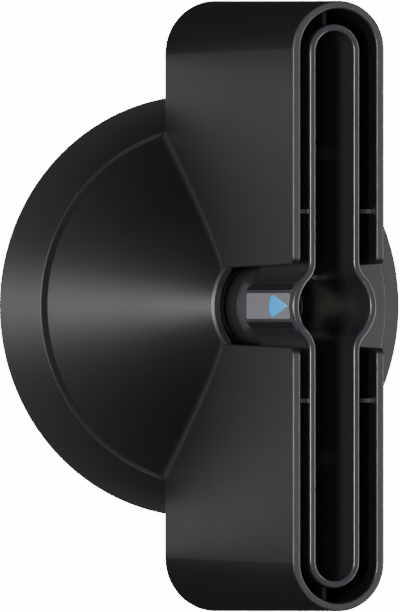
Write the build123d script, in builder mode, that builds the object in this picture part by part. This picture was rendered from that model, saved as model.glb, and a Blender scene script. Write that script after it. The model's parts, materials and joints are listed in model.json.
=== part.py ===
from build123d import *
import math
import os

# Rotary surface cleaner head, pressure fed, 8 inch class.
# Millimetres. Origin at the middle of the base on the floor, Z up, X along the tower, front at -Y.

os.makedirs("parts", exist_ok=True)

# ---- driving dimensions: hood, base ring, tower ----
base_radius = 101.6
cone_slope = 0.679            # radius lost per millimetre of height
cone_wall = 4.5               # measured along the radius
hood_edge_z = 24.0            # lower edge of hood and tower
cone_top_z = 105.8            # open circular edge of the cone
draft = 1.0                   # degrees, tower walls
tower_top_z = 201.5
tower_top_half_width = 22.8
tower_top_half_length = 143.5
tower_wall = 4.0
ridge_fillet = 4.0            # blend between cone and tower faces
notch_top_half_width = 19.7
notch_low_half_width = 18.0
notch_corner = 3.5
rim_fillet = 0.9

ring_top_z = 20.6
ring_wall = 3.5
neck_radius = 83.9            # recessed neck that makes the dark groove
flange_inner = 69.0           # ring flange and hood flange share this bore
flange_thick = 3.0
ring_screw_radius = 73.5
ring_screw_count = 6

deck_z = 43.0                 # moulded deck across the cone
deck_thick = 4.0
deck_top_z = deck_z + deck_thick
deck_hole = 21.4

# ---- driving dimensions: duct insert ----
duct_top_z = 196.1
duct_wall = 3.2
duct_half_length = 132.5
duct_half_width = 12.5
bulge_radius = 21.0           # round lip at the duct's rim, and the socket's lower body
bulge_waist = 19.4            # outside of the round wall between lip and shoulder
socket_radius = 17.6
lip_low_z = 191.0
shoulder_low_z = 114.8
shoulder_high_z = 124.2
bulge_blend = 9.4             # concave blend between bulge and wings
socket_floor_z = 99.0
wing_floor_z = 128.0
rib_thick = 2.0
rib_x = 44.5
side_rib_top_z = 194.0
end_rib_top_z = 181.0
rib_gap = 0.15
pad_half_width = 7.5
pad_low_z = 125.5
pad_high_z = 190.5
pad_face_y = 19.9             # distance of the flat pad face in front of the axis
pad_depth = 4.0
pad_flare = 40.0              # degrees, slope of the pad's sides
post_x = 72.0                 # posts that carry the duct insert
throat_radius = 12.4          # hole in the socket's floor for the inlet nipple
duct_rim_fillet = 0.8

# ---- driving dimensions: swivel and bearings ----
housing_radius = 21.0
housing_low_z = 35.0
housing_top_z = 92.0
housing_flange_radius = 34.0
housing_flange_thick = 6.0
flange_screw_radius = 28.0
bearing_outer = 16.0
bearing_inner = 7.5
bearing_width = 9.0
lower_bearing_z = 40.0
upper_bearing_z = 64.0
ball_radius = 2.38
ball_pitch = 11.75
ball_count = 8
groove_radius = 2.53
pocket_radius = 2.55
cage_half_height = 3.2
cage_outer = 12.7
cage_inner = 10.8
inner_race_radius = 9.9
outer_race_bore = 13.6
seal_cavity_radius = 11.0
port_radius = 6.6
spacer_bore = 14.2            # race spacer and retaining ring clear the inner races
seal_low_z = 75.5
seal_high_z = 79.5
running_gap = 0.08

# ---- driving dimensions: rotor ----
hub_low_z = 17.0
hub_top_z = 31.0
hub_radius = 13.0
arm_z = 24.0
arm_radius = 4.5
arm_bore = 2.5
nozzle_x = 57.0
nozzle_holder_radius = 6.0
nozzle_tilt = 15.0            # degrees, so that the jets drive the arm
shaft_low_z = 10.0
shaft_top_z = 81.0
shaft_tail_radius = 6.0
shaft_flange_radius = 10.0
shaft_neck_radius = 7.8       # runs in the dust seal
shaft_shoulder_radius = 9.0

# ---- screws: two sizes of head on one shank ----
shank_radius = 1.6
screw_hole = 1.6
screw_clearance = 0.5         # added to the hole's radius in the piece that is held
head_radius = 3.6
head_height = 2.6
small_head_radius = 3.2
small_head_height = 2.2
flat_head_height = 0.8        # cover screws, flush with the tower's foot


def cone_radius(z):
    """Outer radius of the one straight cone shared by the ring and the hood."""
    return base_radius - cone_slope * z


def tower_spread(z):
    """How much wider the drafted tower is at height z than at its top."""
    return (tower_top_z - z) * math.tan(math.radians(draft))


def save(builder, name):
    """Label a finished piece and write its STEP file."""
    builder.part.label = name
    export_step(builder.part, f"parts/{name}.step")


def slot(half_length, half_width):
    """Racetrack outline given by its half sizes."""
    SlotOverall(2 * half_length, 2 * half_width)


def drum(radius, low, high, mode=Mode.ADD):
    """Upright cylinder on the main axis between two heights."""
    with Locations((0, 0, low)):
        Cylinder(radius, high - low, align=(Align.CENTER, Align.CENTER, Align.MIN), mode=mode)


def tube(outer, inner, low, high):
    """Upright ring on the main axis between two heights."""
    with BuildPart(mode=Mode.PRIVATE) as ring:
        with BuildSketch(Plane.XY.offset(low)):
            Circle(outer)
            Circle(inner, mode=Mode.SUBTRACT)
        extrude(amount=high - low)
    add(ring.part)


def dogbone(half_length, half_width, bulge, blend):
    """Duct outline: two straight wings and a round bulge, with concave blends between them."""
    slot(half_length, half_width)
    Circle(bulge)
    meeting = math.sqrt(bulge**2 - half_width**2)
    corners = [
        v for v in BuildSketch._get_context().vertices()
        if abs(abs(v.X) - meeting) < 0.01 and abs(abs(v.Y) - half_width) < 0.01
    ]
    fillet(corners, radius=blend)


def pan_head_screws(places, face_z, radius, height, shank_length, up=True):
    """A group of equal screws: heads below face_z with shanks up, or the other way round."""
    way = 1 if up else -1
    with BuildPart() as screws:
        with BuildSketch(Plane.XY.offset(face_z)):
            with Locations(*places):
                Circle(radius)
        extrude(amount=-way * height)
        with BuildSketch(Plane.XY.offset(face_z)):
            with Locations(*places):
                Circle(shank_radius)
        extrude(amount=way * shank_length)
        with BuildSketch(Plane.XY.offset(face_z - way * height)):
            with Locations(*places):
                RegularPolygon(radius * 0.5, 6)
        extrude(amount=way * height * 0.6, mode=Mode.SUBTRACT)
    return screws


def ring_of(count, radius, turn=0.0):
    """Equally spaced places on a circle round the main axis."""
    step = 2 * math.pi / count
    angles = [math.radians(turn) + k * step for k in range(count)]
    return [(radius * math.cos(a), radius * math.sin(a)) for a in angles]


pan_screw_radius = 56.0
cover_screw_near_x = 98.0
cover_screw_far_x = 130.0

ring_screw_places = ring_of(ring_screw_count, ring_screw_radius, 30)
pan_screw_places = ring_of(4, pan_screw_radius, 45)
flange_screw_places = ring_of(4, flange_screw_radius, 45)
post_places = [(-post_x, 0), (post_x, 0)]
cover_screw_places = [(side * x, 0) for side in (-1, 1) for x in (cover_screw_near_x, cover_screw_far_x)]

# ================= hood shell: cone and tower in one moulding =================
low_spread = tower_spread(hood_edge_z)
cone_reach_z = cone_top_z + 5.0     # the cone is blended first, then cut level
foot_half_length = tower_top_half_length + low_spread
foot_half_width = tower_top_half_width + low_spread
web_thick = 4.0
boss_radius = 5.0
ring_boss_radius = 4.0
ring_boss_top_z = 34.0
cover_z = hood_edge_z + 0.8   # underside of the wing covers, sunk into the tower's foot
cover_thick = 2.5
cover_boss_top_z = 44.0
post_low_z = deck_top_z + 10.0
post_hole_depth = 14.0
ring_hole_depth = 11.0
web_overlap = 2.5             # how far a web runs into the drafted wall

with BuildPart() as hood_shell:
    with BuildSketch(Plane.XZ):
        Polygon(
            (0, hood_edge_z), (cone_radius(hood_edge_z), hood_edge_z),
            (cone_radius(cone_reach_z), cone_reach_z), (0, cone_reach_z), align=None,
        )
    revolve(axis=Axis.Z)
    with BuildSketch(Plane.XY.offset(hood_edge_z)):
        slot(foot_half_length, foot_half_width)
    extrude(amount=tower_top_z - hood_edge_z, taper=draft)
    fillet(hood_shell.edges().filter_by(GeomType.HYPERBOLA), radius=ridge_fillet)

    # hollow of the tower, above the deck and out in the wings beside the cone
    with BuildPart(mode=Mode.PRIVATE) as tower_hollow:
        with BuildSketch(Plane.XY.offset(hood_edge_z)):
            slot(foot_half_length - tower_wall, foot_half_width - tower_wall)
        extrude(amount=tower_top_z - hood_edge_z, taper=draft)
        with BuildSketch(Plane.XZ):
            Polygon(
                (0, hood_edge_z), (cone_radius(hood_edge_z), hood_edge_z),
                (cone_radius(deck_top_z), deck_top_z), (0, deck_top_z), align=None,
            )
        revolve(axis=Axis.Z, mode=Mode.SUBTRACT)
    add(tower_hollow.part, mode=Mode.SUBTRACT)

    # hollow of the cone, up through its open top
    with BuildSketch(Plane.XZ):
        Polygon(
            (0, hood_edge_z), (cone_radius(hood_edge_z) - cone_wall, hood_edge_z),
            (cone_radius(cone_top_z) - cone_wall, cone_top_z),
            (cone_radius(cone_top_z) - cone_wall, cone_reach_z), (0, cone_reach_z), align=None,
        )
    revolve(axis=Axis.Z, mode=Mode.SUBTRACT)

    # windows in the front and rear wall, from the cone's open top to the tower's rim
    with BuildSketch(Plane.XZ):
        Polygon(
            (-notch_low_half_width, cone_top_z), (notch_low_half_width, cone_top_z),
            (notch_top_half_width, tower_top_z), (-notch_top_half_width, tower_top_z), align=None,
        )
    extrude(amount=cone_radius(0), both=True, mode=Mode.SUBTRACT)
    notch_corners = (
        hood_shell.edges().filter_by(Axis.Y)
        .filter_by_position(Axis.Z, tower_top_z - 0.1, tower_top_z + 0.1)
    )
    fillet(notch_corners, radius=notch_corner)

    # rounded rims of the tower and of the cone's open top
    tower_rims = (
        hood_shell.edges()
        .filter_by_position(Axis.Z, tower_top_z - notch_corner - 0.1, tower_top_z + 0.1)
        .filter_by(
            lambda e: abs(e.center().X) > 2 * notch_top_half_width
            or abs(e.center().X) > notch_top_half_width and e.geom_type != GeomType.LINE
        )
    )
    fillet(tower_rims, radius=rim_fillet)

    # bevelled lips of the cone's open top, only where the windows leave it free
    lip = cone_radius(cone_top_z)
    mouth = lip - cone_wall
    with BuildPart(mode=Mode.PRIVATE) as lip_bevel:
        with BuildSketch(Plane.XZ):
            Polygon(
                (lip - 0.8, cone_top_z + 0.01), (lip + 0.9, cone_top_z - 1.0),
                (lip + 0.9, cone_top_z + 0.01), align=None,
            )
            Polygon(
                (mouth + 1.0, cone_top_z + 0.01), (mouth - 0.5, cone_top_z + 0.01),
                (mouth - 0.5, cone_top_z - 0.9), (mouth + 0.6, cone_top_z - 0.9), align=None,
            )
        revolve(axis=Axis.Z)
        Box(2 * notch_low_half_width - 0.2, 4 * lip, 4 * cone_top_z, mode=Mode.INTERSECT)
    add(lip_bevel.part, mode=Mode.SUBTRACT)

    # deck across the cone, with the hole for the swivel
    drum(cone_radius(deck_top_z) - 1.0, deck_z, deck_top_z)
    drum(deck_hole, deck_z, deck_top_z, mode=Mode.SUBTRACT)

    # neck and inner flange that stand on the base ring
    tube(neck_radius, flange_inner, ring_top_z, ring_top_z + flange_thick + 1.0)

    # bosses for the base ring screws
    with BuildSketch(Plane.XY.offset(ring_top_z)):
        with Locations(*ring_screw_places):
            Circle(ring_boss_radius)
    extrude(amount=ring_boss_top_z - ring_top_z)

    # posts under the duct's wings and webs over the wing covers
    with BuildSketch(Plane.XY.offset(post_low_z)):
        with Locations(*post_places):
            Rectangle(web_thick, 2 * (tower_top_half_width - tower_wall + web_overlap))
            Circle(boss_radius)
    extrude(amount=wing_floor_z - duct_wall - post_low_z)
    with BuildSketch(Plane.XY.offset(cover_z + cover_thick)):
        with Locations(*cover_screw_places):
            Rectangle(web_thick, 2 * (tower_top_half_width - tower_wall + web_overlap + 1.5))
            Circle(ring_boss_radius)
    extrude(amount=cover_boss_top_z - cover_z - cover_thick)

    # screw holes
    with BuildSketch(Plane.XY.offset(wing_floor_z - duct_wall)):
        with Locations(*post_places):
            Circle(screw_hole)
    extrude(amount=-post_hole_depth, mode=Mode.SUBTRACT)
    with BuildSketch(Plane.XY.offset(cover_z)):
        with Locations(*cover_screw_places):
            Circle(screw_hole)
    extrude(amount=post_hole_depth, mode=Mode.SUBTRACT)
    with BuildSketch(Plane.XY.offset(ring_top_z)):
        with Locations(*ring_screw_places):
            Circle(screw_hole)
    extrude(amount=ring_hole_depth, mode=Mode.SUBTRACT)
    with BuildSketch(Plane.XY.offset(deck_z)):
        with Locations(*pan_screw_places, *flange_screw_places):
            Circle(screw_hole)
    extrude(amount=deck_thick, mode=Mode.SUBTRACT)

save(hood_shell, "hood_shell")

# ================= base ring =================
ring_inner_low = base_radius - ring_wall
ring_inner_top = cone_radius(ring_top_z - flange_thick) - ring_wall

with BuildPart() as base_ring:
    with BuildSketch(Plane.XZ):
        Polygon(
            (base_radius, 0), (cone_radius(ring_top_z), ring_top_z), (flange_inner, ring_top_z),
            (flange_inner, ring_top_z - flange_thick), (ring_inner_top, ring_top_z - flange_thick),
            (ring_inner_low, 0), align=None,
        )
    revolve(axis=Axis.Z)
    with BuildSketch(Plane.XY.offset(ring_top_z)):
        with Locations(*ring_screw_places):
            Circle(screw_hole + screw_clearance)
    extrude(amount=-flange_thick, mode=Mode.SUBTRACT)
    ring_lip = (
        base_ring.edges().filter_by(GeomType.CIRCLE)
        .filter_by(lambda e: abs(e.radius - cone_radius(ring_top_z)) < 0.01)
    )
    fillet(ring_lip, radius=0.6)
save(base_ring, "base_ring")

ring_screw_length = 13.0
ring_screws = pan_head_screws(
    ring_screw_places, ring_top_z - flange_thick, head_radius, head_height, ring_screw_length,
)
save(ring_screws, "base_ring_screws")

# ================= brush ring under the hood =================
brush_back_low_z = 13.6
brush_back_inner = 79.0
brush_back_outer = 85.6
bristle_inner = 80.5
bristle_outer = 84.5
bristle_tip_z = 0.6

with BuildPart() as brush_back:
    tube(brush_back_outer, brush_back_inner, brush_back_low_z, ring_top_z - flange_thick)
save(brush_back, "brush_back")

with BuildPart() as brush_bristles:
    tube(bristle_outer, bristle_inner, bristle_tip_z, brush_back_low_z)
save(brush_bristles, "brush_bristles")

# ================= splash pan under the deck =================
pan_thick = 1.5
pan_radius = 65.0

with BuildPart() as splash_pan:
    tube(pan_radius, housing_radius + 1.0, deck_z - pan_thick, deck_z)
    with BuildSketch(Plane.XY.offset(deck_z)):
        with Locations(*pan_screw_places):
            Circle(screw_hole + screw_clearance)
    extrude(amount=-pan_thick, mode=Mode.SUBTRACT)
save(splash_pan, "splash_pan")

pan_screw_length = 5.0
pan_screws = pan_head_screws(
    pan_screw_places, deck_z - pan_thick, small_head_radius, small_head_height, pan_screw_length,
)
save(pan_screws, "pan_screws")

# ================= covers that close the undersides of the tower's wings =================
cover_gap = 0.25
cover_spread = tower_spread(cover_z + cover_thick)


def wing_cover(side, name):
    """Flat cover between the cone and the round end of the tower, on one side."""
    with BuildPart() as cover:
        with BuildSketch(Plane.XY.offset(cover_z)):
            slot(
                tower_top_half_length + cover_spread - tower_wall - cover_gap,
                tower_top_half_width + cover_spread - tower_wall - cover_gap,
            )
            Circle(cone_radius(hood_edge_z) + cover_gap, mode=Mode.SUBTRACT)
            with Locations((-side * tower_top_half_length, 0)):
                Rectangle(2 * tower_top_half_length, 4 * tower_top_half_width, mode=Mode.SUBTRACT)
            with Locations(*cover_screw_places):
                Circle(screw_hole + screw_clearance, mode=Mode.SUBTRACT)
        extrude(amount=cover_thick)
    save(cover, name)


wing_cover(-1, "wing_cover_left")
wing_cover(1, "wing_cover_right")

cover_screw_length = 12.0
cover_screws = pan_head_screws(
    cover_screw_places, cover_z, small_head_radius, flat_head_height, cover_screw_length,
)
save(cover_screws, "wing_cover_screws")

# ================= duct insert: the socket for the lance =================
def rib_pair(root, tower_half, top_z):
    """Two opposite ribs from the duct's wall to just short of the drafted tower wall."""
    low_z = wing_floor_z - duct_wall
    inside = tower_half - tower_wall - rib_gap
    for way in (-1, 1):
        Polygon(
            (way * (root - 0.5), low_z), (way * (inside + tower_spread(low_z)), low_z),
            (way * (inside + tower_spread(top_z)), top_z), (way * (root - 0.5), top_z), align=None,
        )


with BuildPart() as duct_insert:
    with BuildSketch(Plane.XY.offset(wing_floor_z - duct_wall)):
        dogbone(duct_half_length, duct_half_width, bulge_waist, bulge_blend)
    extrude(amount=lip_low_z - wing_floor_z + duct_wall)
    with BuildSketch(Plane.XY.offset(lip_low_z)):
        dogbone(duct_half_length, duct_half_width, bulge_radius, bulge_blend)
    extrude(amount=duct_top_z - lip_low_z)

    # lower body of the socket, with a sloping shoulder up to the waist
    with BuildSketch(Plane.XZ):
        Polygon(
            (0, socket_floor_z - duct_wall), (bulge_radius, socket_floor_z - duct_wall),
            (bulge_radius, shoulder_low_z), (bulge_waist, shoulder_high_z), (0, shoulder_high_z),
            align=None,
        )
    revolve(axis=Axis.Z)
    drum(bulge_waist, shoulder_high_z, wing_floor_z)

    # flat pad with sloping sides on the front of the waist
    with BuildSketch(Plane.XZ.offset(pad_face_y)):
        with Locations((0, (pad_low_z + pad_high_z) / 2)):
            Rectangle(2 * pad_half_width, pad_high_z - pad_low_z)
    extrude(amount=-pad_depth, taper=-pad_flare)

    # thin ribs that centre the duct in the tower
    for x in (-rib_x, rib_x):
        with BuildSketch(Plane.YZ.offset(x)):
            rib_pair(duct_half_width, tower_top_half_width, side_rib_top_z)
        extrude(amount=rib_thick / 2, both=True)
    with BuildSketch(Plane.XZ):
        rib_pair(duct_half_length, tower_top_half_length, end_rib_top_z)
    extrude(amount=rib_thick / 2, both=True)

    # hollow
    with BuildSketch(Plane.XY.offset(wing_floor_z)):
        dogbone(
            duct_half_length - duct_wall, duct_half_width - duct_wall,
            socket_radius, bulge_blend + duct_wall,
        )
    extrude(amount=duct_top_z - wing_floor_z, mode=Mode.SUBTRACT)
    drum(socket_radius, socket_floor_z, wing_floor_z, mode=Mode.SUBTRACT)
    drum(throat_radius, socket_floor_z - duct_wall, socket_floor_z, mode=Mode.SUBTRACT)
    with BuildSketch(Plane.XY.offset(wing_floor_z)):
        with Locations(*post_places):
            Circle(screw_hole + screw_clearance)
    extrude(amount=-duct_wall, mode=Mode.SUBTRACT)
    duct_rims = duct_insert.edges().filter_by_position(Axis.Z, duct_top_z - 0.05, duct_top_z + 0.05)
    fillet(duct_rims, radius=duct_rim_fillet)
save(duct_insert, "duct_insert")

duct_screws = pan_head_screws(
    post_places, wing_floor_z, head_radius, head_height, duct_wall + post_hole_depth - 3.0, up=False,
)
save(duct_screws, "duct_screws")

# ================= emblem: a plain drop let into the pad =================
drop_radius = 5.2
drop_low_z = 160.0
drop_tip_z = 186.0
drop_middle_z = drop_low_z + drop_radius
badge_thick = 0.4

with BuildPart() as emblem_badge:
    with BuildSketch(Plane.XZ.offset(pad_face_y)):
        with BuildLine():
            drop_round = CenterArc((0, drop_middle_z), drop_radius, 160, 220)
            Line(drop_round @ 1, (0, drop_tip_z))
            Line((0, drop_tip_z), drop_round @ 0)
        make_face()
    extrude(amount=badge_thick)
save(emblem_badge, "emblem_badge")

# ================= swivel housing =================
circlip_z = 38.3
circlip_thick = 1.4
circlip_grip = 1.0            # depth of the groove that the ring springs into
housing_chamfer = 1.5
port_z = 82.0

with BuildPart() as swivel_housing:
    drum(housing_radius, housing_low_z, housing_top_z)
    drum(housing_flange_radius, deck_top_z, deck_top_z + housing_flange_thick)
    drum(bearing_outer, housing_low_z, upper_bearing_z + bearing_width, mode=Mode.SUBTRACT)
    drum(
        bearing_outer + circlip_grip, circlip_z - 0.1, circlip_z + circlip_thick + 0.1, mode=Mode.SUBTRACT,
    )
    drum(seal_cavity_radius, upper_bearing_z + bearing_width, port_z, mode=Mode.SUBTRACT)
    drum(port_radius, port_z, housing_top_z, mode=Mode.SUBTRACT)
    with BuildSketch(Plane.XY.offset(deck_top_z)):
        with Locations(*flange_screw_places):
            Circle(screw_hole + 1.0)
    extrude(amount=housing_flange_thick, mode=Mode.SUBTRACT)
    top_circles = swivel_housing.edges().filter_by(GeomType.CIRCLE).group_by(Axis.Z)[-1]
    chamfer(top_circles.sort_by(SortBy.RADIUS)[-1], housing_chamfer)
save(swivel_housing, "swivel_housing")

washer_thick = 1.0
washer_radius = 4.6
flange_top_z = deck_top_z + housing_flange_thick
with BuildPart() as flange_washers:
    with BuildSketch(Plane.XY.offset(flange_top_z)):
        with Locations(*flange_screw_places):
            Circle(washer_radius)
            Circle(screw_hole + screw_clearance, mode=Mode.SUBTRACT)
    extrude(amount=washer_thick)
save(flange_washers, "flange_washers")

flange_screw_length = washer_thick + housing_flange_thick + deck_thick - 0.5
flange_screws = pan_head_screws(
    flange_screw_places, flange_top_z + washer_thick, head_radius, head_height, flange_screw_length,
    up=False,
)
save(flange_screws, "flange_screws")

# ================= water inlet =================
nipple_bore = 3.2
hex_z = housing_top_z + 1.0
nipple_top_z = 111.0
nipple_thread_radius = 7.0
nipple_low_z = port_z + 3.0
hex_radius = 11.0
hex_thick = 6.0
undercut_top_z = hex_z + hex_thick + 2.0
strainer_radius = 5.0
strainer_top_z = port_z + 9.0
strainer_floor = 1.2

with BuildPart() as inlet_nipple:
    drum(port_radius, nipple_low_z, hex_z)
    with BuildSketch(Plane.XY.offset(hex_z)):
        RegularPolygon(hex_radius, 6)
    extrude(amount=hex_thick)
    drum(nipple_thread_radius - 0.6, hex_z + hex_thick, undercut_top_z)
    drum(nipple_thread_radius, undercut_top_z, nipple_top_z)
    drum(nipple_bore, nipple_low_z, nipple_top_z, mode=Mode.SUBTRACT)
    drum(strainer_radius, nipple_low_z, strainer_top_z, mode=Mode.SUBTRACT)
save(inlet_nipple, "inlet_nipple")

with BuildPart() as inlet_strainer:
    drum(strainer_radius, nipple_low_z, nipple_low_z + strainer_floor)
    tube(strainer_radius, strainer_radius - 1.2, nipple_low_z + strainer_floor, strainer_top_z)
    with BuildSketch(Plane.XY.offset(nipple_low_z)):
        with PolarLocations(2.6, 6):
            Circle(0.7)
        Circle(0.7)
    extrude(amount=strainer_floor, mode=Mode.SUBTRACT)
save(inlet_strainer, "inlet_strainer")

with BuildPart() as nipple_seal:
    tube(9.5, port_radius, housing_top_z, hex_z)
save(nipple_seal, "nipple_seal")

grommet_thick = 1.2
with BuildPart() as socket_grommet:
    tube(socket_radius - 0.6, throat_radius, socket_floor_z, socket_floor_z + grommet_thick)
save(socket_grommet, "socket_grommet")

# ================= seals and retaining ring in the housing =================
with BuildPart() as pressure_seal:
    tube(seal_cavity_radius, shaft_tail_radius + running_gap, seal_low_z, seal_high_z)
save(pressure_seal, "pressure_seal")

with BuildPart() as seal_backup_ring:
    tube(seal_cavity_radius, shaft_tail_radius + 0.6, seal_high_z, port_z)
save(seal_backup_ring, "seal_backup_ring")

with BuildPart() as dust_seal:
    tube(bearing_outer, shaft_neck_radius + running_gap, housing_low_z + 0.2, circlip_z - 0.4)
save(dust_seal, "dust_seal")

with BuildPart() as housing_circlip:
    tube(bearing_outer + circlip_grip - 0.1, spacer_bore, circlip_z, circlip_z + circlip_thick)
    with BuildSketch(Plane.XY.offset(circlip_z)):
        with Locations((0, bearing_outer)):
            Rectangle(7.0, 6.0)
    extrude(amount=circlip_thick, mode=Mode.SUBTRACT)
save(housing_circlip, "housing_circlip")

with BuildPart() as race_spacer:
    tube(bearing_outer, spacer_bore, lower_bearing_z + bearing_width, upper_bearing_z)
save(race_spacer, "race_spacer")


# ================= the two ball bearings =================
def bearing(low, name):
    """Deep groove ball bearing: two races, a cage ring and a group of balls."""
    middle = low + bearing_width / 2
    with BuildPart() as outer_race:
        tube(bearing_outer, outer_race_bore, low, low + bearing_width)
        with Locations((0, 0, middle)):
            Torus(ball_pitch, groove_radius, mode=Mode.SUBTRACT)
    save(outer_race, f"{name}_outer_race")
    with BuildPart() as inner_race:
        tube(inner_race_radius, bearing_inner, low, low + bearing_width)
        with Locations((0, 0, middle)):
            Torus(ball_pitch, groove_radius, mode=Mode.SUBTRACT)
    save(inner_race, f"{name}_inner_race")
    with BuildPart() as balls:
        with Locations((0, 0, middle)):
            with PolarLocations(ball_pitch, ball_count):
                Sphere(ball_radius)
    save(balls, f"{name}_balls")
    with BuildPart() as cage:
        tube(cage_outer, cage_inner, middle - cage_half_height, middle + cage_half_height)
        with Locations((0, 0, middle)):
            with PolarLocations(ball_pitch, ball_count):
                Cylinder(pocket_radius, 6.0, rotation=(0, 90, 0), mode=Mode.SUBTRACT)
    save(cage, f"{name}_cage_ring")


bearing(lower_bearing_z, "lower")
bearing(upper_bearing_z, "upper")

# ================= rotor shaft =================
shaft_shoulder_z = 38.6
shaft_flange_top_z = hub_top_z + 3.0
seat_top_z = upper_bearing_z + bearing_width + 1.6
groove_z = upper_bearing_z + bearing_width + 0.1
groove_depth = 0.6
shaft_clip_thick = 1.0
shaft_clip_radius = 9.2

with BuildPart() as rotor_shaft:
    drum(shaft_tail_radius, shaft_low_z, hub_top_z)
    drum(shaft_flange_radius, hub_top_z, shaft_flange_top_z)
    drum(shaft_neck_radius, shaft_flange_top_z, shaft_shoulder_z)
    drum(shaft_shoulder_radius, shaft_shoulder_z, lower_bearing_z)
    drum(bearing_inner, lower_bearing_z, seat_top_z)
    drum(shaft_tail_radius, seat_top_z, shaft_top_z)
    drum(arm_bore, arm_z - 1.0, shaft_top_z, mode=Mode.SUBTRACT)
    with BuildSketch(Plane.YZ.offset(-shaft_tail_radius)):
        with Locations((0, arm_z)):
            Circle(arm_bore - 0.3)
    extrude(amount=2 * shaft_tail_radius, mode=Mode.SUBTRACT)
    with BuildSketch(Plane.XY.offset(groove_z)):
        Circle(bearing_inner)
        Circle(bearing_inner - groove_depth, mode=Mode.SUBTRACT)
    extrude(amount=shaft_clip_thick, mode=Mode.SUBTRACT)
save(rotor_shaft, "rotor_shaft")

with BuildPart() as shaft_circlip:
    tube(shaft_clip_radius, bearing_inner - groove_depth, groove_z, groove_z + shaft_clip_thick)
    with BuildSketch(Plane.XY.offset(groove_z)):
        with Locations((0, bearing_inner + 0.5)):
            Rectangle(4.0, 4.0)
    extrude(amount=shaft_clip_thick, mode=Mode.SUBTRACT)
save(shaft_circlip, "shaft_circlip")

with BuildPart() as inner_spacer:
    tube(inner_race_radius, bearing_inner, lower_bearing_z + bearing_width, upper_bearing_z)
save(inner_spacer, "inner_spacer")

# ================= rotor hub, arms and nozzles =================
hub_chamfer = 1.0
hub_washer_radius = 10.0
hub_washer_thick = 1.2
hub_nut_radius = 9.8
hub_nut_thick = 5.0
lock_nut_radius = 8.0
lock_nut_thick = 4.0
nozzle_seat_radius = nozzle_holder_radius - 2.0

with BuildPart() as rotor_hub:
    drum(hub_radius, hub_low_z, hub_top_z)
    with BuildSketch(Plane.YZ.offset(-hub_radius)):
        with Locations((0, arm_z)):
            Circle(arm_radius)
    extrude(amount=2 * hub_radius, mode=Mode.SUBTRACT)
    drum(shaft_tail_radius, hub_low_z, hub_top_z, mode=Mode.SUBTRACT)
    hub_rims = (
        rotor_hub.edges().filter_by(GeomType.CIRCLE)
        .filter_by(lambda e: abs(e.radius - hub_radius) < 0.01)
    )
    chamfer(hub_rims, hub_chamfer)
save(rotor_hub, "rotor_hub")

with BuildPart() as hub_washer:
    tube(hub_washer_radius, shaft_tail_radius, hub_low_z - hub_washer_thick, hub_low_z)
save(hub_washer, "hub_washer")

with BuildPart() as hub_nut:
    with BuildSketch(Plane.XY.offset(hub_low_z - hub_washer_thick)):
        RegularPolygon(hub_nut_radius, 6)
        Circle(shaft_tail_radius, mode=Mode.SUBTRACT)
    extrude(amount=-hub_nut_thick)
save(hub_nut, "hub_nut")

with BuildPart() as arm_lock_nuts:
    for side in (-1, 1):
        with BuildSketch(Plane.YZ.offset(side * hub_radius)):
            with Locations((0, arm_z)):
                RegularPolygon(lock_nut_radius, 6)
                Circle(arm_radius, mode=Mode.SUBTRACT)
        extrude(amount=side * lock_nut_thick)
save(arm_lock_nuts, "arm_lock_nuts")

arm_start = 7.5
holder_low = 14.0
holder_high = 30.0


def spray_arm(side, name):
    """Straight water tube screwed into the hub."""
    with BuildPart() as arm:
        with BuildSketch(Plane.YZ.offset(side * arm_start)):
            with Locations((0, arm_z)):
                Circle(arm_radius)
                Circle(arm_bore, mode=Mode.SUBTRACT)
        extrude(amount=side * (nozzle_x - arm_start))
        with BuildSketch(Plane.XY.offset(holder_low)):
            with Locations((side * nozzle_x, 0)):
                Circle(nozzle_seat_radius)
        extrude(amount=holder_high - holder_low, mode=Mode.SUBTRACT)
    save(arm, name)


def nozzle_holder(side, name):
    """Elbow block at the end of an arm, bored across for the arm and down for the nozzle."""
    with BuildPart() as holder:
        with BuildSketch(Plane.XY.offset(holder_low)):
            with Locations((side * nozzle_x, 0)):
                Circle(nozzle_holder_radius)
        extrude(amount=holder_high - holder_low)
        with BuildSketch(Plane.YZ.offset(side * (nozzle_x - nozzle_holder_radius))):
            with Locations((0, arm_z)):
                Circle(arm_radius)
        extrude(amount=side * nozzle_holder_radius, mode=Mode.SUBTRACT)
        with BuildSketch(Plane.XY.offset(holder_low)):
            with Locations((side * nozzle_x, 0)):
                Circle(nozzle_seat_radius)
        extrude(amount=arm_z - holder_low, mode=Mode.SUBTRACT)
    save(holder, name)


for side, word in ((-1, "left"), (1, "right")):
    spray_arm(side, f"spray_arm_{word}")
    nozzle_holder(side, f"nozzle_holder_{word}")

tip_low = 8.5
tip_high = 19.0
tip_hex_radius = 5.6
orifice_radius = 0.8
slit_length = 7.0
slit_width = 1.4
slit_depth = 1.6

with BuildPart() as nozzle_tips:
    for side in (-1, 1):
        with BuildSketch(Plane.XY.offset(holder_low)):
            with Locations((side * nozzle_x, 0)):
                Circle(nozzle_seat_radius)
        extrude(amount=tip_high - holder_low)
        with BuildSketch(Plane.XY.offset(holder_low)):
            with Locations((side * nozzle_x, 0)):
                RegularPolygon(tip_hex_radius, 6)
        extrude(amount=tip_low - holder_low)
        with BuildSketch(Plane.XY.offset(tip_low)):
            with Locations((side * nozzle_x, 0)):
                Circle(orifice_radius)
        extrude(amount=tip_high - tip_low, mode=Mode.SUBTRACT)
        with BuildSketch(Plane.XY.offset(tip_low)):
            with Locations((side * nozzle_x, 0)):
                Rectangle(slit_length, slit_width, rotation=side * nozzle_tilt)
        extrude(amount=slit_depth, mode=Mode.SUBTRACT)
save(nozzle_tips, "nozzle_tips")
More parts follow.
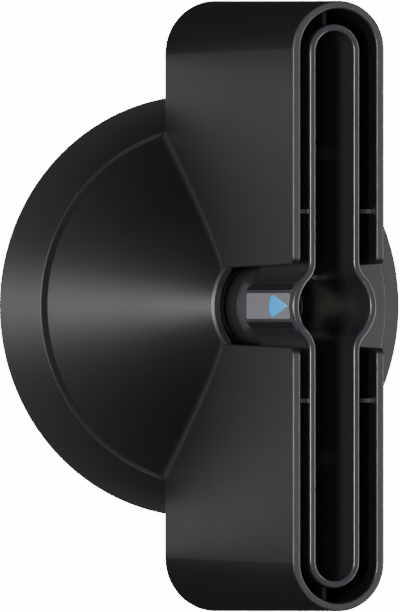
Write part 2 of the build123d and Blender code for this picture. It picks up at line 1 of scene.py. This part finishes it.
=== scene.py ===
# %% [markdown]
# # A rotary surface cleaner head
# This object is a small pressure-fed floor cleaner. A conical hood stands on a base ring, and a tall
# slot-shaped tower grows out of the hood in the same moulding. A glossy duct inside the tower is the
# socket for the lance, and a spray arm spins under the hood. The shapes and sizes come from the packed
# CAD model, so this lesson is about surfaces: each piece gets the finish that its real material has.

# %% Load the frame
import json
import math
import random

import bmesh
import bpy
from mathutils import Matrix, Vector


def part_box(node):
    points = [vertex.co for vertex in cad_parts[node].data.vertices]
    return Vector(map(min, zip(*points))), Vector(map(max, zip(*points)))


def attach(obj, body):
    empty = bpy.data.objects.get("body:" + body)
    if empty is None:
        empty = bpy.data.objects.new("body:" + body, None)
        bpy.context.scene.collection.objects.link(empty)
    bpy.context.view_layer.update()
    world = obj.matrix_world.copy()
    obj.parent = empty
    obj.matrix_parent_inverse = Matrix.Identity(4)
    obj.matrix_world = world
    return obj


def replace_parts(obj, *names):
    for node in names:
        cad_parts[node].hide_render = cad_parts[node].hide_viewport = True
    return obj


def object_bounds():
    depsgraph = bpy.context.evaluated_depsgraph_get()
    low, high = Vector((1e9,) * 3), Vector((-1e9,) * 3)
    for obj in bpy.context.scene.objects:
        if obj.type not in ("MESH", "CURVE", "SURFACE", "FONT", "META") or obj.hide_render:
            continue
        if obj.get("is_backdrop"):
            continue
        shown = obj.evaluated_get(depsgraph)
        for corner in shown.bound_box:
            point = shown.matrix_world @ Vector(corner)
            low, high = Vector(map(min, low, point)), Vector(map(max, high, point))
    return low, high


MM = 0.001

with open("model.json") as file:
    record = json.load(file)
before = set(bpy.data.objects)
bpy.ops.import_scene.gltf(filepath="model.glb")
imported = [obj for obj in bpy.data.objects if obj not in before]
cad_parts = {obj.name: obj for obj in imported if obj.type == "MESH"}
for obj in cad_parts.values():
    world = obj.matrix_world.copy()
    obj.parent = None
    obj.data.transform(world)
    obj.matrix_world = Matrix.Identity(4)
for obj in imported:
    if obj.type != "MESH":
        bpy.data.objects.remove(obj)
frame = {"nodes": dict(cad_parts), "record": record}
cad_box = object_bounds()
nodes = frame["nodes"]

# %% [markdown]
# ## Camera
# The head is seen from high above its front, turned a quarter so that the tower stands upright in the
# picture. A very long lens from far away keeps the sides parallel, as in a product picture. A perspective
# camera is kept rather than an orthographic one, so that other views can frame the object by themselves.

# %% Camera
IMAGE_HEIGHT = 0.2946        # height of floor that the picture takes in, in metres
CAMERA_DISTANCE = 7.83
SENSOR = 36.0
TILT = math.radians(18.86)   # how far the camera leans from straight down towards the front


def make_camera():
    data = bpy.data.cameras.new("studio_camera")
    data.type = "PERSP"
    data.sensor_fit = "AUTO"
    data.sensor_width = SENSOR
    data.lens = SENSOR * CAMERA_DISTANCE / IMAGE_HEIGHT
    data.clip_start = 0.1
    data.clip_end = 100.0
    camera = bpy.data.objects.new("studio_camera", data)
    bpy.context.collection.objects.link(camera)
    backward = Vector((0.0, -math.sin(TILT), math.cos(TILT)))
    up = Vector((-1.0, 0.0, 0.0))
    right = up.cross(backward)
    turn = Matrix((right, up, backward)).transposed().to_4x4()
    camera.matrix_world = Matrix.Translation(backward * CAMERA_DISTANCE) @ turn
    return camera


bpy.context.scene.camera = make_camera()
print("lens:", round(bpy.context.scene.camera.data.lens), "mm")

# %% [markdown]
# ## Colours and nodes
# Colours are written as the hex values that a paint chart gives. Blender's shaders want linear light, so
# one function turns hex into linear values. A second one adds any node with its settings and its links.

# %% Colour and node helpers


def hex_colour(code):
    """Linear RGBA of an sRGB colour such as 1c1d1f."""
    values = [int(code[k:k + 2], 16) / 255 for k in (0, 2, 4)]
    linear = [v / 12.92 if v <= 0.04045 else ((v + 0.055) / 1.055) ** 2.4 for v in values]
    return (*linear, 1.0)


def add(tree, kind, inputs=None, **settings):
    """Adds one node. An input is a plain value, or the socket that feeds it."""
    made = tree.nodes.new(kind)
    for name, value in settings.items():
        setattr(made, name, value)
    for name, value in (inputs or {}).items():
        if isinstance(value, bpy.types.NodeSocket):
            tree.links.new(value, made.inputs[name])
        else:
            made.inputs[name].default_value = value
    return made


print("mid grey 808080 is linear", round(hex_colour("808080")[0], 3))

# %% [markdown]
# ## The start of every material
# Each material begins with its output, one Principled shader and the object coordinates. The pieces sit at
# the origin with their places in their meshes, so object coordinates are metres in the model's own frame,
# and a pattern's scale can be given as a real size. Noise stays mostly between a quarter and three
# quarters, so that range is what gets spread over the wanted roughness.

# %% Material start
NOISE_LOW, NOISE_HIGH = 0.25, 0.75


def new_material(name, colour):
    """A material of one colour with only an output and a shader, and its object coordinates."""
    material = bpy.data.materials.new(name)
    material.use_nodes = True
    tree = material.node_tree
    tree.nodes.clear()
    output = add(tree, "ShaderNodeOutputMaterial")
    shader = add(tree, "ShaderNodeBsdfPrincipled", {"Base Color": hex_colour(colour)})
    tree.links.new(shader.outputs["BSDF"], output.inputs["Surface"])
    place = add(tree, "ShaderNodeTexCoord").outputs["Object"]
    return material, tree, shader, place


print("noise from", NOISE_LOW, "to", NOISE_HIGH, "is spread over each roughness")

# %% [markdown]
# ## Moulded plastics
# A moulding copies the surface of its mould. Two things of different sizes show on it: relief, such as the
# pits of a spark-eroded mould or the slow waves of a polished one, and patches that are a little duller
# or shinier. The relief becomes a bump and the patches become roughness, each from its own noise.

# %% Moulded plastic


def moulded(name, colour, roughness, patches, relief, depth_mm, strength):
    """Plastic. Patches and relief are each a noise's size in millimetres and its detail."""
    material, tree, shader, place = new_material(name, colour)
    patch_mm, patch_detail = patches
    relief_mm, relief_detail = relief
    dulling = add(tree, "ShaderNodeTexNoise", {
        "Vector": place, "Scale": 1 / (patch_mm * MM), "Detail": patch_detail,
    })
    height = add(tree, "ShaderNodeTexNoise", {
        "Vector": place, "Scale": 1 / (relief_mm * MM), "Detail": relief_detail,
    })
    spread = add(tree, "ShaderNodeMapRange", {
        "Value": dulling.outputs["Fac"], "From Min": NOISE_LOW, "From Max": NOISE_HIGH,
        "To Min": roughness[0], "To Max": roughness[1],
    })
    bump = add(tree, "ShaderNodeBump", {
        "Height": height.outputs["Fac"], "Distance": depth_mm * MM, "Strength": strength,
    })
    tree.links.new(spread.outputs["Result"], shader.inputs["Roughness"])
    tree.links.new(bump.outputs["Normal"], shader.inputs["Normal"])
    shader.inputs["IOR"].default_value = 1.5
    return material


# %% [markdown]
# ## Textured black ABS
# The hood and the ring are moulded in black ABS from a mould with a fine spark-eroded texture. The pits
# scatter the light, so the plastic looks satin, with broad soft highlights. The real pits are about
# 0.1 mm across, too fine for the picture, so they are drawn at 0.7 mm, the finest that still shows.

# %% Satin ABS
SATIN = moulded(
    "satin_abs_spark_eroded", "101113", roughness=(0.39, 0.45),
    patches=(45.0, 2.0), relief=(0.7, 3.0), depth_mm=0.05, strength=0.35,
)
print("made", SATIN.name)

# %% [markdown]
# ## Polished black ABS
# The duct insert comes from a polished mould, so it is glossier than the hood. Polished plastic still
# waves a little where the wall shrank as it cooled, which bends the reflections. A weak, broad bump
# gives that. Its colour is lighter than the hood's as painted light: it makes up for the light that gets
# lost deep in the duct.

# %% Gloss ABS
# The lighter colour 2b2b2e is painted light for the deep duct.
GLOSS = moulded(
    "gloss_abs_polished", "2b2b2e", roughness=(0.20, 0.27),
    patches=(12.0, 3.0), relief=(30.0, 1.0), depth_mm=0.2, strength=0.3,
)
print("made", GLOSS.name)

# %% [markdown]
# ## Rubber, nylon and the badge
# Nitrile rubber is nearly black, dull and a little dusty. The bearing cages are amber nylon filled with
# glass, which is waxy, and the bristles are plain black nylon. The badge is blue resin, and the grey panel
# under it is a painted highlight on the pad.
# For all five the same fine grain gives both the relief and the patches.

# %% Rubber, nylon and badge
RUBBER = moulded("nitrile_rubber", "17171a", (0.64, 0.80), (0.9, 4.0), (0.9, 4.0), 0.05, 0.5)
AMBER = moulded("nylon_glass_filled", "9a6f3a", (0.42, 0.58), (0.6, 4.0), (0.6, 4.0), 0.03, 0.5)
NYLON = moulded("bristle_nylon", "1b1b1d", (0.32, 0.48), (2.0, 4.0), (2.0, 4.0), 0.01, 0.5)
BLUE = moulded("blue_inlay_moulded", "10a6ee", (0.26, 0.42), (0.8, 4.0), (0.8, 4.0), 0.02, 0.5)
# The panel's light grey is a painted highlight on the pad, not a colour of the part.
PAD_HIGHLIGHT_PAINT = moulded("pad_painted_highlight", "6b6c70", (0.30, 0.46), (0.7, 4.0), (0.7, 4.0), 0.03, 0.5)
print("made", RUBBER.name, AMBER.name, NYLON.name, BLUE.name, PAD_HIGHLIGHT_PAINT.name)

# %% [markdown]
# ## Metals
# A metal's colour is in its reflections, so the shader is fully metallic and keeps the default IOR. How it
# was made shows in the direction of its fine marks: brushed sheet has long parallel scratches, turned
# parts have rings round their axis, and ground bearing steel has almost none. The marks are drawn with
# noise that is stretched along their direction, by a mapping that gives it a size along each axis.

# %% Metals
MARK_DETAIL = 3.0
MARK_STRENGTH = 0.5


def metal(name, colour, roughness, marks_mm, depth_mm=0.01):
    """Metal with fine marks, whose sizes in millimetres are given along each axis."""
    material, tree, shader, place = new_material(name, colour)
    scales = [1 / (size * MM) for size in marks_mm]
    stretch = add(tree, "ShaderNodeMapping", {"Vector": place, "Scale": scales}, vector_type="POINT")
    marks = add(tree, "ShaderNodeTexNoise", {
        "Vector": stretch.outputs["Vector"], "Scale": 1.0, "Detail": MARK_DETAIL,
    })
    spread = add(tree, "ShaderNodeMapRange", {
        "Value": marks.outputs["Fac"], "From Min": NOISE_LOW, "From Max": NOISE_HIGH,
        "To Min": roughness - 0.06, "To Max": roughness + 0.08,
    })
    bump = add(tree, "ShaderNodeBump", {
        "Height": marks.outputs["Fac"], "Distance": depth_mm * MM, "Strength": MARK_STRENGTH,
    })
    tree.links.new(spread.outputs["Result"], shader.inputs["Roughness"])
    tree.links.new(bump.outputs["Normal"], shader.inputs["Normal"])
    shader.inputs["Metallic"].default_value = 1.0
    return material


METALS = {
    "stainless_plate": metal("stainless_sheet_brushed", "b9babc", 0.32, (20.0, 0.4, 20.0)),
    "stainless_turned": metal("stainless_turned", "c3c3c4", 0.24, (8.0, 8.0, 0.3)),
    "zinc_fastener": metal("steel_zinc_plated", "b4b9bf", 0.3, (1.5, 1.5, 1.5)),
    "bearing_steel": metal("bearing_steel_ground", "d2d3d6", 0.1, (6.0, 6.0, 0.2), 0.004),
    "brass": metal("brass_nickel_plated", "a9a69c", 0.26, (8.0, 8.0, 0.3)),
    "anodised_housing": metal("aluminium_anodised_grey", "84868b", 0.38, (0.8, 0.8, 0.8)),
}
print("metals:", sorted(METALS))

# %% [markdown]
# ## Finishes on the CAD pieces
# The record already names one material slot for every node, so the finish of a node follows from its slot
# and no list of nodes is needed here.

# %% Assign finishes
FINISHES = {
    "satin_black_moulding": SATIN,
    "gloss_black_moulding": GLOSS,
    "blue_inlay": BLUE,
    "seal_rubber": RUBBER,
    "bristle_nylon": NYLON,
    "cage_polymer": AMBER,
    **METALS,
}

slots = {part["node"]: part["material_slot"] for part in frame["record"]["subparts"]}
for name, piece in nodes.items():
    piece.data.materials.clear()
    piece.data.materials.append(FINISHES[slots[name]])
print("finished", len(nodes), "nodes")

# %% [markdown]
# ## Turning a bmesh into a piece
# Every new piece is built in a bmesh, gets its normals checked, and becomes an object at the origin with
# its place in its mesh. One helper does that, so that each piece below is only its own shape.

# %% Piece helper


def make_piece(name, shape, material, body, smooth=True):
    """An object from a bmesh that rides on a body and takes a material slot."""
    bmesh.ops.remove_doubles(shape, verts=shape.verts, dist=1e-6)
    bmesh.ops.recalc_face_normals(shape, faces=shape.faces)
    mesh = bpy.data.meshes.new(name)
    shape.to_mesh(mesh)
    shape.free()
    for face in mesh.polygons:
        face.use_smooth = smooth
    mesh.materials.append(material)
    piece = bpy.data.objects.new(name, mesh)
    bpy.context.collection.objects.link(piece)
    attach(piece, body)
    print(name, "has", len(mesh.polygons), "faces")
    return piece


# %% [markdown]
# ## Badge
# The badge is a plain drop of blue resin. Poured resin has a crowned face, so the drop is an outline that
# is extruded and then inset twice, and each inset lifts the face a little. The outline is a spun round foot
# and a pointed tip. Its size comes from the CAD node's box, and the straight sides leave the foot where
# they touch it as tangents.

# %% Badge
badge_low, badge_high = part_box("emblem_badge")
DROP_STEPS = 20
CROWN_STEPS = ((0.6 * MM, 0.12 * MM), (1.2 * MM, 0.08 * MM))    # how far in, how far up


def make_badge():
    """Drop with its point up, from the back of the CAD badge to its crowned front."""
    shape = bmesh.new()
    radius = (badge_high.x - badge_low.x) / 2
    centre = Vector((0, badge_high.y, badge_low.z + radius))
    half_gap = math.acos(radius / (badge_high.z - centre.z))
    start = Vector((-radius * math.sin(half_gap), 0, radius * math.cos(half_gap)))
    first = shape.verts.new(centre + start)
    spun = bmesh.ops.spin(
        shape, geom=[first], cent=centre, axis=(0, -1, 0), angle=2 * (math.pi - half_gap), steps=DROP_STEPS,
    )
    last = next(v for v in spun["geom_last"] if isinstance(v, bmesh.types.BMVert))
    tip = shape.verts.new((0, badge_high.y, badge_high.z))
    shape.edges.new((last, tip))
    shape.edges.new((tip, first))
    bmesh.ops.contextual_create(shape, geom=shape.edges[:])
    face = shape.faces[:][0]
    face.normal_update()
    if face.normal.y > 0:
        face.normal_flip()
    grown = bmesh.ops.extrude_face_region(shape, geom=[face])
    front = [v for v in grown["geom"] if isinstance(v, bmesh.types.BMVert)]
    bmesh.ops.translate(shape, verts=front, vec=(0, badge_low.y - badge_high.y, 0))
    top = [f for f in shape.faces if all(v in front for v in f.verts)]
    for inwards, upwards in CROWN_STEPS:
        bmesh.ops.inset_region(shape, faces=top, thickness=inwards, depth=upwards)
    return make_piece("drop_badge", shape, BLUE, "housing")


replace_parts(make_badge(), "emblem_badge")

# %% [markdown]
# ## Painted highlight panel
# A thin light grey panel lies on the flat pad under the drop. Its light grey is a painted highlight: it
# stands in for the light that the pad catches, so the pad stands out from the black plastic round it. Its
# corners are rounded, its rim is softened where it was moulded, and it leaves an even border on the pad.

# %% Painted highlight panel
PAD_HALF_WIDTH = 7.5 * MM
PAD_LOW, PAD_HIGH = 125.5 * MM, 190.5 * MM
PAD_BORDER = 1.4 * MM
PANEL_THICK = 0.25 * MM
PANEL_CORNER = 1.2 * MM
PANEL_RIM = 0.12 * MM


def make_painted_highlight_panel():
    shape = bmesh.new()
    bmesh.ops.create_cube(shape, size=1.0)
    half_width, height = PAD_HALF_WIDTH - PAD_BORDER, PAD_HIGH - PAD_LOW - 2 * PAD_BORDER
    bmesh.ops.scale(shape, verts=shape.verts, vec=(2 * half_width, 2 * PANEL_THICK, height))
    middle = (0, badge_high.y, (PAD_LOW + PAD_HIGH) / 2)
    bmesh.ops.translate(shape, verts=shape.verts, vec=middle)
    corners = [e for e in shape.edges if abs(e.verts[0].co.y - e.verts[1].co.y) > PANEL_THICK]
    bmesh.ops.bevel(
        shape, geom=corners, offset=PANEL_CORNER, affect="EDGES", segments=4, profile=0.5, material=-1,
    )
    front = [e for e in shape.edges if all(v.co.y < badge_high.y for v in e.verts)]
    bmesh.ops.bevel(
        shape, geom=front, offset=PANEL_RIM, affect="EDGES", segments=2, profile=0.5, material=-1,
    )
    # This light grey panel paints the highlight on the pad.
    return make_piece(
        "painted_highlight_panel", shape, PAD_HIGHLIGHT_PAINT, "housing", smooth=False,
    )


make_painted_highlight_panel()

# %% [markdown]
# ## Bristles
# The CAD model holds the brush as one plain ring. A real strip brush has tufts of nylon, each a bundle of
# bristles that fan out towards the floor. Each bristle is a thin four-sided cone frustum, and the tufts
# stand in two staggered rows. The random lean of each bristle comes from a seeded generator.

# %% Bristles
brush_low, brush_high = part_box("brush_bristles")
BRUSH_OUTER = brush_high.x
BRUSH_INNER = BRUSH_OUTER - 4.0 * MM
ROW_INSET = 1.0 * MM
ROW_RADII = (BRUSH_INNER + ROW_INSET, BRUSH_OUTER - ROW_INSET)
TUFTS_PER_ROW = 72
BRISTLES_PER_TUFT = 7
TUFT_RADIUS = 0.75 * MM
FOOT_GATHER, TIP_GATHER = 0.7, 0.9      # share of the tuft's radius at the strip and at the floor
BRISTLE_RADIUS = 0.22 * MM
TIP_TAPER = 0.7
LEAN_MM = 0.3
TRIM_MM = 0.6                           # how uneven the bristles' lower ends are


def add_bristle(shape, foot, tip):
    """One bristle: a thin square frustum from its foot up in the strip to its tip."""
    along = tip - foot
    made = bmesh.ops.create_cone(
        shape, cap_ends=True, cap_tris=False, segments=4,
        radius1=BRISTLE_RADIUS, radius2=BRISTLE_RADIUS * TIP_TAPER, depth=along.length,
    )
    turn = along.to_track_quat("Z", "Y").to_matrix().to_4x4()
    place = Matrix.Translation((foot + tip) / 2) @ turn
    bmesh.ops.transform(shape, matrix=place, verts=made["verts"])


def add_tuft(shape, centre, dice):
    """One bristle in the middle and the others round it, each with its own lean and length."""
    for n in range(BRISTLES_PER_TUFT):
        turn = 2 * math.pi * n / (BRISTLES_PER_TUFT - 1)
        reach = 0.0 if n == 0 else TUFT_RADIUS
        side = Vector((math.cos(turn), math.sin(turn), 0.0)) * reach
        lean = Vector((dice.uniform(-LEAN_MM, LEAN_MM), dice.uniform(-LEAN_MM, LEAN_MM), 0.0)) * MM
        foot = centre + side * FOOT_GATHER
        tip = centre + side * TIP_GATHER + lean * 0.5
        tip.z = brush_low.z + dice.uniform(0.0, TRIM_MM) * MM
        add_bristle(shape, foot, tip)


def make_bristles():
    dice = random.Random(7)
    shape = bmesh.new()
    for row, radius in enumerate(ROW_RADII):
        for k in range(TUFTS_PER_ROW):
            angle = 2 * math.pi * (k + 0.5 * row) / TUFTS_PER_ROW
            add_tuft(shape, Vector((radius * math.cos(angle), radius * math.sin(angle), brush_high.z)), dice)
    return make_piece("bristle_tufts", shape, NYLON, "housing", smooth=False)


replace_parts(make_bristles(), "brush_bristles")

# %% [markdown]
# ## Floor and card
# The head stands on a plain white sheet. Black plastic shows its shape mostly through reflections, so what
# it reflects is chosen: only the camera sees the white sheet, and a narrower card under the object, longer
# from front to rear, is what the plastic mirrors. The card brightens the walls that look towards the front
# and the rear, and leaves the cone's flanks dark. Both glow evenly by themselves, and need no light.

# %% Floor and card


def flat_sheet(name, half_x, half_y, height, colour, glow):
    """A flat rectangle that glows evenly, as if it were lit."""
    mesh = bpy.data.meshes.new(name)
    shape = bmesh.new()
    bmesh.ops.create_grid(shape, x_segments=1, y_segments=1, size=1.0)
    bmesh.ops.scale(shape, verts=shape.verts, vec=(half_x, half_y, 1.0))
    bmesh.ops.translate(shape, verts=shape.verts, vec=(0, 0, height))
    shape.to_mesh(mesh)
    shape.free()
    sheet = bpy.data.objects.new(name, mesh)
    bpy.context.collection.objects.link(sheet)
    material, _, shader, _ = new_material(name, colour)
    shader.inputs["Roughness"].default_value = 0.9
    shader.inputs["Emission Color"].default_value = hex_colour("ffffff")
    shader.inputs["Emission Strength"].default_value = glow
    mesh.materials.append(material)
    sheet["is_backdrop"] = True
    return sheet


FLOOR = flat_sheet("white_sheet", 30.0, 30.0, -0.5 * MM, "f4f4f4", 14.0)
FLOOR.visible_glossy = False
FLOOR.visible_diffuse = False
CARD = flat_sheet("pale_card", 0.12, 1.5, -1.0 * MM, "101010", 0.5)
CARD.visible_camera = False
print("stage:", FLOOR.name, CARD.name)

# %% [markdown]
# ## Lights
# Large soft boxes make the highlights. A low one in front draws the bright streak down the cone and stays
# narrow, so that the streak does too. A high one in front lights the pad and the front edges, and one near
# the camera reaches down into the duct. One behind, tall and wide, lights the flat rims, and the last one
# keeps the rear from going black. All of them face the middle of the object.

# %% Lights
AIM = Vector((0, 0, 0.1))
SOFT_BOXES = {
    # name: (place, size, power in watts)
    "front_box": ((0.0, -1.6, 0.12), (0.4, 0.5), 12.0),
    "high_box": ((0.0, -1.3, 1.5), (0.5, 0.5), 34.0),
    "fill_box": ((0.0, -0.7, 2.1), (0.5, 0.4), 20.0),
    "top_box": ((0.0, 1.2, 1.5), (1.5, 0.4), 34.0),
    "rear_box": ((0.5, 1.8, 0.7), (0.9, 0.7), 12.0),
}


def soft_box(name, place, size, power):
    """Rectangular area light that faces the middle of the object."""
    data = bpy.data.lights.new(name, "AREA")
    data.shape = "RECTANGLE"
    data.size, data.size_y = size
    data.energy = power
    light = bpy.data.objects.new(name, data)
    bpy.context.collection.objects.link(light)
    light.location = place
    light.rotation_euler = (AIM - Vector(place)).to_track_quat("-Z", "Y").to_euler()


for name, (place, size, power) in SOFT_BOXES.items():
    soft_box(name, place, size, power)
print("soft boxes:", len(SOFT_BOXES))

# %% [markdown]
# ## Surroundings
# A faint even white world lifts the deepest shadows a little, as the walls of a room would.

# %% Surroundings
WORLD_STRENGTH = 0.04

world = bpy.data.worlds.new("studio_world")
bpy.context.scene.world = world
world.use_nodes = True
background = world.node_tree.nodes["Background"]
background.inputs["Color"].default_value = (1, 1, 1, 1)
background.inputs["Strength"].default_value = WORLD_STRENGTH
print("world strength:", WORLD_STRENGTH)

# %% [markdown]
# ## Sizes
# The look must not change the object's size, so the box of the CAD model and the box of the finished model
# are kept side by side.

# %% Keep the two sizes
size = {"cad": [list(corner) for corner in cad_box], "visual": [list(corner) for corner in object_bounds()]}
